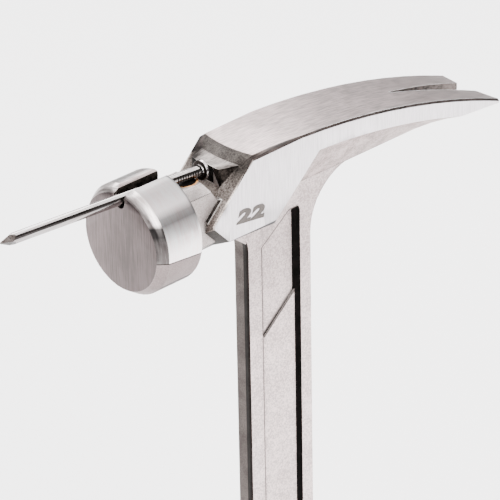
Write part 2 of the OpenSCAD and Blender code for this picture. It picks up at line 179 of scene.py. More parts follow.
# Which finish a face of the forging has. Each row is (finish, what it lies above, what it lies below), and
# the first row that holds the face counts. x, y and z are the face's middle, with y out from the middle
# plane, and nx, ny and nz its direction, with ny the same on both sides. outward says how squarely it looks
# away from the bell's axis, and outer, where it does, how far it lies from that axis. belly is its height
# over the end of the turned band, bevel its height over the foot of the crown's bevel, and bore how far it
# lies from the magnet's axis.
BELL_ZONES = (
    ("bell_face", {}, {"nx": -0.99, "x": 0.05}),
    ("pocket", {}, {"nx": -0.99}),
    ("under", {"outer": TURNED_R, "belly": -BELLY_LINE}, {"belly": 0}),
    ("dark_stripe", {"outer": TURNED_R, "x": FACE_BEVEL}, {"belly": 0}),
    ("belly", {"outer": TURNED_R}, {"belly": 0}),
    ("groove_rim", {"outer": TURNED_R, "z": 14, "nx": -0.2}, {"y": 3.4, "outward": 0.93}),
    ("bell_bevel", {"outer": TURNED_R}, {"x": FACE_BEVEL + 0.01, "nx": -0.2}),
    ("bell_side", {"outer": TURNED_R}, {}),
    ("pocket", {"z": 5}, {"nx": 0.8, "y": 4}),
    ("neck", {}, {}),
)
SHANK_ZONES = (
    ("skin", {"ny": 0.98}, {}),
    ("shank_front", {}, {"nx": -0.5, "x": 48.6}),
    ("step", {"x": 50, "z": -64, "nz": 0.3}, {"x": 72, "y": 3.1, "z": -34}),
    ("recess", {"x": 50}, {"x": 72, "y": 3.1}),
    ("skin", {}, {}),
)
HEAD_ZONES = (
    ("pocket", {"z": 3, "nz": -0.5}, {"bore": 4.6, "z": 10.88, "nz": 0.5}),
    ("ground_side", {"x": 26, "y": 11, "ny": 0.99}, {}),
    ("ground_top", {"x": CROWN_X, "nz": 0.75}, {"ny": 0.3}),
    ("ground_edge", {"x": 40, "y": 9, "nz": 0.1, "bevel": 0}, {}),
    ("notch", {"x": 110, "ny": 0.9}, {"y": 4.4}),
    ("ground_top", {"x": 140, "nx": 0.3}, {}),
    ("front", {"x": 20, "nz": 0.4}, {"x": 46, "nx": -0.5}),
    ("pocket", {"x": 17, "z": 7.5, "nz": -0.8}, {"x": 30, "y": 3.2, "nz": 0.8}),
    ("anvil_top", {"x": 30, "z": 9, "nz": 0.9}, {"x": 48, "y": 9}),
    ("anvil", {"x": 30, "z": 9}, {"x": 48, "y": 9}),
    ("anvil", {"x": 24, "nx": -0.6, "ny": 0.6, "nz": 0.2}, {"x": 34, "y": 9.6, "nx": -0.2}),
    ("front", {"x": 24, "y": 8.3, "ny": 0.6}, {"x": 30, "z": 9, "nx": 0.2}),
    ("under", {"x": 24, "y": 3.3}, {"x": 56, "nz": -0.2}),
    ("flank", {"x": 50, "y": 3.1}, {"nz": -0.1}),
    ("slot", {"x": 20, "z": 5, "nx": 0.3}, {"x": 46}),
    ("front", {"x": 17, "y": 8.2}, {"x": 34, "nx": -0.9}),
    ("neck", {"z": -14}, {"x": 46, "y": 8.4}),
    ("skin", {}, {}),
)


def linear(code):
    """A colour as the linear numbers that shaders take, from an sRGB hex code or from the panel."""
    if not isinstance(code, str):
        return tuple(code)
    parts = [int(code[i:i + 2], 16) / 255 for i in (1, 3, 5)]
    return tuple(p / 12.92 if p <= 0.04045 else ((p + 0.055) / 1.055) ** 2.4 for p in parts)


def node(tree, kind, inputs=None, **settings):
    """Adds a node, sets its properties, and sets or links its inputs."""
    made = tree.nodes.new(kind)
    for name, value in settings.items():
        setattr(made, name, value)
    for name, value in (inputs or {}).items():
        if isinstance(value, bpy.types.NodeSocket):
            tree.links.new(value, made.inputs[name])
        else:
            made.inputs[name].default_value = value
    return made


def fresh(name):
    """A new material with an empty node tree."""
    material = bpy.data.materials.new(name)
    material.use_nodes = True
    material.node_tree.nodes.clear()
    return material, material.node_tree


def worked_metal(name, low, high, rough, grain, relief, mottle, rim=None, rim_mm=0.3,
                 spread=(0.35, 0.65), shades=()):
    """A metal with grain or grit of a real size.

    low and high are its colours, rough its range of roughness, grain the size of one mark along X, Y and Z
    in millimetres, relief the depth of the marks in millimetres, mottle the size of the slow clouds in
    millimetres and how far they sway the colour, rim the colour of its rounded edges, partly edge wear and,
    where it is lighter than the steel, a painted highlight, rim_mm their radius in millimetres, spread the
    strength of the marks at which low starts to turn and is all turned into high, and shades how its tone
    runs along an axis of the head's own frame, mostly painted light and shade, each as (axis, from, to,
    tone at from, tone at to).
    """
    material, tree = fresh(name)
    place = node(tree, "ShaderNodeTexCoord").outputs["Object"]
    marks = node(tree, "ShaderNodeMapping", {"Vector": place, "Scale": [1 / (g * MM) for g in grain]})
    grit = node(tree, "ShaderNodeTexNoise", {
        "Vector": marks.outputs[0], "Scale": 1, "Detail": 4, "Roughness": 0.6}).outputs[0]
    cloud = node(tree, "ShaderNodeTexNoise", {
        "Vector": place, "Scale": 1 / (mottle[0] * MM), "Detail": 3}).outputs[0]
    sway = node(tree, "ShaderNodeMath", {0: cloud, 1: 0.5}, operation="SUBTRACT").outputs[0]
    sway = node(tree, "ShaderNodeMath", {0: sway, 1: mottle[1], 2: grit},
                operation="MULTIPLY_ADD").outputs[0]
    share = node(tree, "ShaderNodeMapRange", {
        "Value": sway, "From Min": spread[0], "From Max": spread[1]}).outputs[0]
    colour = node(tree, "ShaderNodeMix", {0: share, 6: (*linear(low), 1), 7: (*linear(high), 1)},
                  data_type="RGBA").outputs[2]
    sheen = node(tree, "ShaderNodeMapRange", {
        "Value": grit, "From Min": 0.3, "From Max": 0.7, "To Min": rough[0], "To Max": rough[1]})
    round_edge = node(tree, "ShaderNodeBevel", {"Radius": rim_mm * MM}, samples=4)
    # the rim colour on the rounded edges: partly edge wear and, where it is lighter, a painted highlight
    if rim:
        flat = node(tree, "ShaderNodeNewGeometry").outputs["Normal"]
        turn = node(tree, "ShaderNodeVectorMath", {0: round_edge.outputs[0], 1: flat},
                    operation="DOT_PRODUCT").outputs["Value"]
        edge = node(tree, "ShaderNodeMapRange", {
            "Value": turn, "From Min": 0.995, "From Max": 0.93}).outputs[0]
        colour = node(tree, "ShaderNodeMix", {0: edge, 6: colour, 7: (*linear(rim), 1)},
                      data_type="RGBA").outputs[2]
    # painted shade in the corners, where the steel's faces close round them
    open_air = node(tree, "ShaderNodeAmbientOcclusion", {"Distance": CORNER_SHADE * MM}, samples=6,
                    only_local=True).outputs["AO"]
    corners = node(tree, "ShaderNodeMapRange", {
        "Value": open_air, "From Min": 0.45, "From Max": 1, "To Min": 0.12, "To Max": 1}).outputs[0]
    colour = node(tree, "ShaderNodeVectorMath", {0: colour, 3: corners}, operation="SCALE").outputs[0]
    # tone along the head's own axes, mostly painted light and shade
    parts = node(tree, "ShaderNodeSeparateXYZ", {0: place}).outputs
    for axis, start, end, first, last in shades:
        origin = {"X": FACE_X, "Y": 0, "Z": AXIS_Z}[axis]
        tone = node(tree, "ShaderNodeMapRange", {
            "Value": parts[axis], "From Min": (start + origin) * MM, "From Max": (end + origin) * MM,
            "To Min": first, "To Max": last}).outputs[0]
        colour = node(tree, "ShaderNodeVectorMath", {0: colour, 3: tone}, operation="SCALE").outputs[0]
    bump = node(tree, "ShaderNodeBump", {
        "Strength": 1, "Distance": relief * MM, "Height": grit, "Normal": round_edge.outputs[0]})
    shader = node(tree, "ShaderNodeBsdfPrincipled", {
        "Base Color": colour, "Metallic": 1, "Roughness": sheen.outputs[0], "Normal": bump.outputs[0]})
    node(tree, "ShaderNodeOutputMaterial", {"Surface": shader.outputs[0]})
    return material


def moulded(name, low, high, rough, pebble, relief, gloss=0.5):
    """A moulded polymer with a fine pebbled grain.

    low and high are its colours, rough its range of roughness, pebble the width of one pebble and relief
    its height in millimetres, and gloss how strongly it mirrors.
    """
    material, tree = fresh(name)
    place = node(tree, "ShaderNodeTexCoord").outputs["Object"]
    grit = node(tree, "ShaderNodeTexVoronoi", {"Vector": place, "Scale": 1 / (pebble * MM)})
    cloud = node(tree, "ShaderNodeTexNoise", {
        "Vector": place, "Scale": 1 / (POLYMER_CLOUD * MM), "Detail": 3}).outputs[0]
    colour = node(tree, "ShaderNodeMix", {0: cloud, 6: (*linear(low), 1), 7: (*linear(high), 1)},
                  data_type="RGBA").outputs[2]
    sheen = node(tree, "ShaderNodeMapRange", {"Value": cloud, "To Min": rough[0], "To Max": rough[1]})
    bump = node(tree, "ShaderNodeBump", {
        "Strength": 1, "Distance": relief * MM, "Height": grit.outputs["Distance"]})
    shader = node(tree, "ShaderNodeBsdfPrincipled", {
        "Base Color": colour, "Metallic": 0, "IOR": 1.5, "Specular IOR Level": gloss,
        "Roughness": sheen.outputs[0], "Normal": bump.outputs[0]})
    node(tree, "ShaderNodeOutputMaterial", {"Surface": shader.outputs[0]})
    return material


def merged_copy(name, source):
    """A copy of a CAD node's mesh with its doubled corners merged and its hard edges kept."""
    mesh = NODES[source].data.copy()
    mesh.name = name
    shape = bmesh.new()
    shape.from_mesh(mesh)
    bmesh.ops.remove_doubles(shape, verts=shape.verts, dist=0.002 * MM)
    for face in shape.faces:
        face.smooth = True
    shape.to_mesh(mesh)
    shape.free()
    mesh.materials.clear()
    mesh.set_sharp_from_angle(angle=math.radians(24))
    piece = bpy.data.objects.new(name, mesh)
    bpy.context.scene.collection.objects.link(piece)
    even = piece.modifiers.new("even_normals", "WEIGHTED_NORMAL")
    even.weight = 100
    even.keep_sharp = True
    return piece


def finished(piece, slot, body, *replaced):
    """Puts a finished piece on its body, in place of the CAD nodes it stands for. Its slot is not used."""
    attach(piece, body)
    if replaced:
        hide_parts(*replaced)


class HammerFinish(bpy.types.PropertyGroup):
    """Colours of the steel, the brass and the grip."""
    ground_light: FloatVectorProperty(
        name="Ground side", description="Lightest tone of the ground side faces",
        subtype="COLOR", default=linear("#D9D4D7"), min=0, max=1)
    ground_top: FloatVectorProperty(
        name="Ground crown", description="Lightest tone of the ground crown",
        subtype="COLOR", default=linear("#998B8A"), min=0, max=1)
    skin: FloatVectorProperty(
        name="Forging skin", description="Lightest tone of the blasted skin",
        subtype="COLOR", default=linear("#CCBEBC"), min=0, max=1)
    brass: FloatVectorProperty(
        name="Brass", description="Lightest tone of the brass sleeve",
        subtype="COLOR", default=linear("#AD7F50"), min=0, max=1)
    rubber: FloatVectorProperty(
        name="Grip cover", description="Lightest tone of the grip's soft cover",
        subtype="COLOR", default=linear("#141416"), min=0, max=1)


class HammerSizes(bpy.types.PropertyGroup):
    """Sizes that the frame doesn't hold."""
    mark_high: FloatProperty(
        name="Mark height", description="Height of the number on the cheek",
        default=4.7 * MM, min=2 * MM, max=6 * MM, unit="LENGTH")
    mark_wide: FloatProperty(
        name="Mark width", description="Width of the number on the cheek",
        default=11.4 * MM, min=5 * MM, max=16 * MM, unit="LENGTH")
    edge_round: FloatProperty(
        name="Edge rounding", description="Radius that shows on the forging's edges",
        default=0.3 * MM, min=0.05 * MM, max=1 * MM, unit="LENGTH")


class HammerStage(bpy.types.PropertyGroup):
    """Light and floor."""
    floor: FloatVectorProperty(
        name="Floor", description="Colour of the plain pale floor",
        subtype="COLOR", default=linear("#F6F5F5"), min=0, max=1)
    sky: FloatProperty(
        name="Sky", description="Strength of the soft light from all round",
        default=2.2, min=0, max=10)
    key: FloatProperty(
        name="Key", description="Power of the softbox over the claw's side",
        default=62, min=0, max=1000, unit="POWER")
    front: FloatProperty(
        name="Front", description="Power of the softbox in front",
        default=75, min=0, max=1000, unit="POWER")
    rear: FloatProperty(
        name="Rear", description="Power of the softbox behind",
        default=50, min=0, max=1000, unit="POWER")


class HammerSettings(bpy.types.PropertyGroup):
    """Everything that the panel shows."""
    finish: PointerProperty(type=HammerFinish)
    sizes: PointerProperty(type=HammerSizes)
    stage: PointerProperty(type=HammerStage)


def steel_zone(centre, normal):
    """Which finish a face of the forging has, from its place and direction."""
    x = centre.x / MM - FACE_X
    y = abs(centre.y) / MM
    z = centre.z / MM - AXIS_Z
    ny = abs(normal.y)
    radius = math.hypot(y, z)
    outward = (ny * y + normal.z * z) / max(radius, 0.1)
    face = {
        "x": x, "y": y, "z": z, "nx": normal.x, "ny": ny, "nz": normal.z,
        "outward": outward,
        "outer": radius if outward > 0.5 else 0,
        "belly": z - (BELLY_Z - x * BELLY_FALL),
        "bevel": z - (BEVEL_Z - (x - CROWN_X) * BEVEL_FALL),
        "bore": math.hypot(x - MAGNET_X, y),
    }
    zones = HEAD_ZONES
    if x < BELL_LEN + 0.1 and radius < BELL_R + 0.2:
        zones = BELL_ZONES
    elif z < HEAD_FOOT or (SHANK_FRONT < x < SHANK_BACK and z < CHEEK_FOOT):
        zones = SHANK_ZONES
    for zone, above, below in zones:
        if all(face[name] > limit for name, limit in above.items()) \
                and all(face[name] < limit for name, limit in below.items()):
            return zone
    raise RuntimeError(f"no finish for the face at {x}, {y}, {z}")


def steel_finishes(finish, edge):
    """The forging's materials by finish.

    Real scratches and turned rings are about 0.05 mm apart and real dents and scale about 0.1 to 0.3 mm
    wide, which is too fine to show, so each is drawn as coarse as its comment says.
    """
    return {
        # The cheeks are belt-ground: scratches up and down them, drawn 0.45 mm apart, that spread the
        # light; painted light makes them brighter towards the claw, and painted shade darkens their lower
        # edge
        "ground_side": worked_metal(
            "ground_side_steel", "#C1BBBE", finish.ground_light, rough=(0.26, 0.4), grain=(0.45, 2, 9),
            relief=0.012, mottle=(9, 0.25), rim="#E2DFE0", rim_mm=edge,
            shades=(("X", 40, 110, 1.06, 1.2), ("Z", -8.12, -7.9, 0.08, 1))),
        # The crown is ground lengthwise: scratches drawn 0.4 mm apart, painted light that changes its tone
        # along it, and a painted white highlight on its rounded edge
        "ground_top": worked_metal(
            "ground_crown_steel", "#655C5A", finish.ground_top, rough=(0.28, 0.42), grain=(5, 0.4, 3),
            relief=0.012, mottle=(14, 0.2), rim="#FFFFFF", rim_mm=0.4,
            shades=(("X", 44, 52, 0.86, 1.12), ("X", 54, 72, 1, 0.82), ("X", 100, 140, 1, 1.06))),
        # The bevel beside the crown is ground lengthwise, with scratches drawn 0.6 mm apart, and painted
        # dark as a painted dark reflection
        "ground_edge": worked_metal(
            "ground_bevel_steel", "#1F1B1A", "#3B3432", rough=(0.25, 0.4), grain=(5, 0.6, 0.6),
            relief=0.006, mottle=(6, 0.4), rim_mm=0.1),
        # The striking face is ground up and down, drawn 0.4 mm apart, painted dark grey as a painted dark
        # reflection, and lighter towards its far side as painted light
        "bell_face": worked_metal(
            "ground_striking_steel", "#504948", "#665C5C", rough=(0.3, 0.42), grain=(3, 0.4, 9),
            relief=0.012, mottle=(11, 0.5), rim="#756D6D", rim_mm=edge,
            shades=(("Y", -4, 12, 1, 1.4),)),
        # The bevel round the face is turned: rings drawn 0.4 mm apart, and a painted reflection, bright
        # from
        # 10 mm above the axis up and dark below that
        "bell_bevel": worked_metal(
            "turned_bevel_steel", "#A89D9C", "#D6CECC", rough=(0.3, 0.42), grain=(0.4, 5, 5),
            relief=0.005, mottle=(8, 0.4), rim_mm=0.15,
            shades=(("Z", 5, 6.5, 2.6, 1), ("Z", 8.8, 10, 0.08, 1), ("Z", 13.5, 16, 1, 0.7))),
        # The band round the bell is turned: rings drawn 0.35 mm apart, and a painted reflection, bright low
        # down and dark from 9 mm above the axis up, with painted shade at its back edge and a painted white
        # highlight on its rounded edges
        "bell_side": worked_metal(
            "turned_bell_steel", "#FAE8E7", "#FFFFFF", rough=(0.34, 0.46), grain=(0.35, 6, 6),
            relief=0.008, mottle=(8, 0.4), rim="#FFFFFF", rim_mm=edge,
            shades=(("Z", 4.6, 9.2, 1, 0.12), ("Z", 10.8, 12.8, 1, 2.9),
                    ("Z", 12.5, 16.5, 1, 0.55), ("X", 16.3, 16.9, 1, 0.35))),
        # The forging's skin is shot-blasted: a matte grey of fine dents, drawn 0.5 mm wide, lighter down
        # the shank as painted light
        "skin": worked_metal(
            "blasted_forging_skin", "#9F9291", finish.skin, rough=(0.5, 0.62), grain=(0.5, 0.5, 0.5),
            relief=0.05, mottle=(6, 0.25), rim="#D5C8C7", rim_mm=edge, spread=(0.4, 0.6),
            shades=(("Z", -60, -20, 1.3, 1),)),
        # The bell's belly is left blasted: a darker matte grey, with dents drawn 0.4 mm wide
        "belly": worked_metal(
            "blasted_bell_belly", "#736867", "#8F8382", rough=(0.5, 0.62), grain=(0.4, 0.4, 0.4),
            relief=0.05, mottle=(5, 0.3), rim="#B4A7A5", rim_mm=edge),
        # The same skin behind the bevel, with a dark stripe 12 mm below the axis
        "dark_stripe": worked_metal(
            "belly_parting_line", "#736867", "#8F8382", rough=(0.5, 0.62), grain=(0.4, 0.4, 0.4),
            relief=0.05, mottle=(5, 0.3), rim="#B4A7A5", rim_mm=edge,
            shades=(("Z", -11.3, -10.7, 0.2, 1), ("Z", -12.8, -12.4, 5, 1))),
        # The neck is blasted, with dents drawn 0.4 mm wide, and its rounded edges are dark
        "neck": worked_metal(
            "blasted_neck_skin", "#968C8A", "#BAB2AF", rough=(0.5, 0.62), grain=(0.4, 0.4, 0.4),
            relief=0.05, mottle=(5, 0.4), rim="#15120F", rim_mm=0.5),
        # The flanks under the claw are blasted over coarse scale: blotches, dents drawn 0.7 mm wide, and
        # painted shade along the keel's foot
        "flank": worked_metal(
            "blasted_claw_flank", "#837673", "#B9A9A7", rough=(0.5, 0.62), grain=(0.7, 0.7, 0.7),
            relief=0.08, mottle=(5, 0.7), rim="#CBBEBC", rim_mm=edge, shades=(("Z", -5.05, -4.7, 0.3, 1),)),
        # The shank's front edge is blasted: a matte of dents drawn 0.45 mm wide, painted dark as painted
        # shade, and darker still at its near corner
        "shank_front": worked_metal(
            "blasted_shank_edge", "#433C3A", "#615A57", rough=(0.5, 0.64), grain=(0.45, 0.45, 0.45),
            relief=0.05, mottle=(5, 0.6), rim="#89807E", rim_mm=edge, shades=(("Y", -1.3, -1, 0.17, 1),)),
        # The cheeks' fronts keep forge scale, brushed down: dark, in grains drawn 0.45 mm wide, with
        # painted shade towards the top, and edges that are worn bright and given a painted highlight
        "front": worked_metal(
            "scaled_front_face", "#403936", "#8A817B", rough=(0.42, 0.6), grain=(0.45, 0.45, 0.45),
            relief=0.1, mottle=(3, 0.4), rim="#F0EAE5", rim_mm=0.5, spread=(0.34, 0.66),
            shades=(("Z", 8, 12, 1, 0.2), ("Y", -10.95, -10.7, 4, 1), ("Y", 10.7, 10.95, 1, 4))),
        # Under the cheeks, and in the line below the turned band, scale and painted shade: dark, matte and
        # drawn
        # 0.5 mm wide
        "under": worked_metal(
            "scaled_cheek_underside", "#262321", "#3F3C3A", rough=(0.45, 0.6), grain=(0.5, 0.5, 0.5),
            relief=0.07, mottle=(4, 0.5), rim="#544F4D", rim_mm=edge),
        # The anvil's sides keep thick scale, in grains drawn 0.6 mm wide, painted near black as painted
        # shade, with edges worn bright and given a painted highlight
        "anvil": worked_metal(
            "scaled_anvil_side", "#080605", "#2B2623", rough=(0.4, 0.6), grain=(0.6, 0.6, 0.6),
            relief=0.12, mottle=(4, 0.5), rim="#CFC8C3", rim_mm=0.4, spread=(0.4, 0.65)),
        # The anvil's top is rubbed lengthwise, with marks drawn 0.5 mm apart, and a painted highlight on
        # its edges
        "anvil_top": worked_metal(
            "worn_anvil_top", "#393432", "#6A6461", rough=(0.35, 0.5), grain=(2.4, 0.5, 2.4),
            relief=0.08, mottle=(4, 0.5), rim="#E2DDD9", rim_mm=0.35),
        # In the recess the scale is rough, in grains drawn 0.8 mm wide, and painted almost black as painted
        # shade
        "recess": worked_metal(
            "recess_wall_scale", "#030302", "#100C0C", rough=(0.5, 0.7), grain=(0.8, 0.8, 0.8),
            relief=0.1, mottle=(4, 0.6), rim="#141311", rim_mm=edge),
        # The recess's slanting step is blasted: a clean matte grey, with dents drawn 0.4 mm wide
        "step": worked_metal(
            "blasted_recess_step", "#5D5854", "#7F7B76", rough=(0.5, 0.65), grain=(0.4, 0.4, 0.4),
            relief=0.05, mottle=(4, 0.4), rim_mm=0.1),
        # The nail's groove and the magnet's bore keep dark scale, drawn 0.8 mm wide
        "pocket": worked_metal(
            "pocket_scale", "#100D0B", "#322D29", rough=(0.45, 0.65), grain=(0.8, 0.8, 0.8),
            relief=0.06, mottle=(3, 0.6), rim="#746E6A", rim_mm=edge),
        # Nails have rubbed the groove's rims to a dull shine, in lines along them drawn 0.5 mm apart
        "groove_rim": worked_metal(
            "groove_rim_steel", "#685D5B", "#9D918F", rough=(0.25, 0.4), grain=(4, 0.5, 0.5),
            relief=0.02, mottle=(5, 0.5), rim="#B6ACAA", rim_mm=edge),
        # The slot for the nail's head keeps scale, drawn 0.8 mm wide, with edges worn bright and given a
        # painted highlight
        "slot": worked_metal(
            "slot_wall_scale", "#120E0D", "#4B4341", rough=(0.4, 0.6), grain=(0.8, 0.8, 0.8),
            relief=0.08, mottle=(3, 0.7), rim="#B5AEAA", rim_mm=0.3),
        # Between the claw's tines the scale, drawn about 1 mm long, is partly rubbed off
        "notch": worked_metal(
            "notch_wall_scale", "#2E2826", "#6E6460", rough=(0.4, 0.6), grain=(1.1, 0.8, 0.6),
            relief=0.08, mottle=(3, 0.6), rim="#988B88", rim_mm=edge),
    }


def cut_belly(mesh):
    """Cuts the bell's faces along both edges of the dark line that ends its turned band."""
    shape = bmesh.new()
    shape.from_mesh(mesh)
    bell = [f for f in shape.faces if f.calc_center_median().x < (FACE_X + BELL_LEN) * MM
            and math.hypot(f.normal.y, f.normal.z) > 0.3]
    for level in (BELLY_Z, BELLY_Z - BELLY_LINE):
        parts = list(dict.fromkeys(g for f in bell for g in (f, *f.edges, *f.verts)))
        cut = bmesh.ops.bisect_plane(shape, geom=parts, dist=0.001 * MM, plane_no=(BELLY_FALL, 0, 1),
                                     plane_co=(FACE_X * MM, 0, (AXIS_Z + level) * MM))
        bell = [g for g in cut["geom"] if isinstance(g, bmesh.types.BMFace)]
    shape.to_mesh(mesh)
    shape.free()


def recess_outline(context):
    """Draws the painted shade lines round the recess and under its step, on both sides of the shank."""
    mesh = bpy.data.meshes.new("recess_outline")
    shape = bmesh.new()
    for points, wide, face_y in RECESS_LINES:
        for k, (start, end) in enumerate(zip(points, points[1:])):
            way = (Vector(end) - Vector(start)).normalized()
            off = Vector((-way.y, way.x)) * wide / 2
            lap = way * LAP
            corners = [Vector(start) + off - lap, Vector(end) + off + lap,
                       Vector(end) - off + lap, Vector(start) - off - lap]
            for side in (-1, 1):
                level = side * (face_y + k * LAP_RISE)
                verts = [shape.verts.new(((FACE_X + c.x) * MM, level * MM, (AXIS_Z + c.y) * MM))
                         for c in (corners if side < 0 else corners[::-1])]
                shape.faces.new(verts)
    shape.to_mesh(mesh)
    shape.free()
    # Painted shade along the recess's rounded edge and under its step: dull and dark
    mesh.materials.append(worked_metal(
        "dull_recess_edge", "#4A4341", "#6E6663", rough=(0.5, 0.65), grain=(0.4, 0.4, 0.4),
        relief=0.02, mottle=(4, 0.4), rim_mm=0.1))
    piece = bpy.data.objects.new("recess_outline", mesh)
    context.scene.collection.objects.link(piece)
    finished(piece, "forged_steel", "hammer")


class HAMMER_OT_forging(bpy.types.Operator):
    """Gives the one-piece forging its ground, turned, blasted and scaled finishes"""
    bl_idname = "hammer.forging"
    bl_label = "Forging"

    def execute(self, context):
        settings = context.scene.hammer
        zones = steel_finishes(settings.finish, settings.sizes.edge_round / MM)
        piece = merged_copy("forging", "forged_body")
        cut_belly(piece.data)
        order = list(zones)
        for name in order:
            piece.data.materials.append(zones[name])
        for face in piece.data.polygons:
            face.material_index = order.index(steel_zone(face.center, face.normal))
        finished(piece, "forged_steel", "hammer", "forged_body")
        recess_outline(context)
        return {"FINISHED"}


class HAMMER_OT_starter(bpy.types.Operator):
    """Gives the magnet its dull nickel plate and the sleeve its turned brass"""
    bl_idname = "hammer.starter"
    bl_label = "Nail starter"

    def execute(self, context):
        finish = context.scene.hammer.finish
        magnet = merged_copy("magnet", "starter_magnet")
        # Nickel plate, barrel-plated: dark and dull with a fine even grain
        magnet.data.materials.append(worked_metal(
            "nickel_plate", "#23201F", "#474341", rough=(0.3, 0.45), grain=(0.3, 0.3, 0.3),
            relief=0.004, mottle=(3, 0.4), rim="#696562", rim_mm=0.15))
        finished(magnet, "magnet_plating", "hammer", "starter_magnet")
        sleeve = merged_copy("sleeve", "magnet_sleeve")
        # Brass, turned: fine rings round the tube, drawn 0.3 mm apart
        sleeve.data.materials.append(worked_metal(
            "turned_brass", "#74471F", finish.brass, rough=(0.22, 0.34), grain=(2, 2, 0.3),
            relief=0.004, mottle=(3, 0.3), rim="#A5835A", rim_mm=0.12))
        finished(sleeve, "sleeve_brass", "hammer", "magnet_sleeve")
        return {"FINISHED"}


def rank(spot):
    """A number that puts places on a nail in order: up along Z, then round it at the same height."""
    return round(spot.z / MM, 3) * 1000 + round(math.atan2(spot.y, spot.x), 3)


def put_in_order(shape):
    """Puts a nail's parts in one order, because extruding leaves them in one that differs by the run."""
    shape.verts.sort(key=lambda v: rank(v.co))
    shape.edges.sort(key=lambda e: rank((e.verts[0].co + e.verts[1].co) / 2))
    shape.faces.sort(key=lambda f: rank(f.calc_center_median()))


def nail_shape(grips):
    """A nail on the Z axis as a bmesh: its head's underside at 0, its point up, its marks at grips."""
    radius = WIRE_R * MM
    head_r = NAIL_HEAD_R * MM
    head_t = NAIL_HEAD_T * MM
    tip = NAIL_LEN * MM - head_t
    # rings from the edge of the head's back to its underside, as (height, share of the head's radius)
    steps = [(-head_t, 0.86), (-head_t + 0.08 * MM, 0.95), (-head_t + 0.25 * MM, 1), (-0.3 * MM, 1),
             (-0.1 * MM, 0.98), (0, 0.93)]
    stations = [(z, r * head_r) for z, r in steps] + [(0.02 * MM, radius * 1.12), (0.3 * MM, radius)]
    for start in grips:
        for share, pressed in ((0, 1), (1 / 3, GRIP_SHARE), (2 / 3, GRIP_SHARE), (1, 1)):
            stations.append((start + share * GRIP_WIDE * MM, radius * pressed))
    stations += [(20 * MM, radius), (40 * MM, radius), (tip, radius)]
    shape = bmesh.new()
    hub = head_r * 0.2
    ring = bmesh.ops.create_circle(shape, cap_ends=False, segments=RING_SIDES, radius=hub)["verts"]
    bmesh.ops.rotate(shape, verts=ring, matrix=Matrix.Rotation(math.pi / RING_SIDES, 3, "Z"))
    bmesh.ops.translate(shape, verts=ring, vec=(0, 0, -head_t))
    previous = ring[0].co.z, hub
    edges = list(dict.fromkeys(e for v in ring for e in v.link_edges))
    bmesh.ops.contextual_create(shape, geom=edges)
    for z, r in stations:
        made = bmesh.ops.extrude_edge_only(shape, edges=edges)["geom"]
        ring = [g for g in made if isinstance(g, bmesh.types.BMVert)]
        edges = [g for g in made if isinstance(g, bmesh.types.BMEdge)
                 and g.verts[0] in ring and g.verts[1] in ring]
        bmesh.ops.scale(shape, verts=ring, vec=(r / previous[1], r / previous[1], 1))
        bmesh.ops.translate(shape, verts=ring, vec=(0, 0, z - previous[0]))
        previous = z, r
    bmesh.ops.contextual_create(shape, geom=edges)
    bmesh.ops.recalc_face_normals(shape, faces=shape.faces)
    # the grippers close from the sides, so the top of the wire stays whole
    for vert in shape.verts:
        reach = math.hypot(vert.co.x, vert.co.y)
        pressed = 1 * MM < vert.co.z < 12 * MM and radius * 0.9 < reach < radius * 0.99
        if pressed and vert.co.x > 0.35 * radius:
            vert.co.x *= radius / reach
            vert.co.y *= radius / reach
    # the four flats of the diamond point
    slope = math.atan2(radius, POINT_LEN * MM)
    for k in range(4):
        put_in_order(shape)
        across = Matrix.Rotation(math.radians(45 + 90 * k), 3, "Z") @ Vector((1, 0, 0))
        normal = across * math.cos(slope) + Vector((0, 0, 1)) * math.sin(slope)
        cut = bmesh.ops.bisect_plane(shape, geom=shape.verts[:] + shape.edges[:] + shape.faces[:],
                                     plane_co=(0, 0, tip), plane_no=normal, clear_outer=True)
        rim = [g for g in cut["geom_cut"] if isinstance(g, bmesh.types.BMEdge)]
        bmesh.ops.contextual_create(shape, geom=rim)
    bmesh.ops.remove_doubles(shape, verts=shape.verts, dist=0.01 * MM)
    bmesh.ops.recalc_face_normals(shape, faces=shape.faces)
    # the flats meet at the tip, and each starts at its lowest corner, so every run splits it alike
    top = max(shape.verts, key=lambda v: v.co.z)
    for face in list(top.link_faces):
        corners = face.verts[:]
        first = min(range(len(corners)), key=lambda k: rank(corners[k].co))
        shape.faces.remove(face)
        shape.faces.new(corners[first:] + corners[:first])
    for face in shape.faces:
        face.smooth = True
    put_in_order(shape)
    return shape


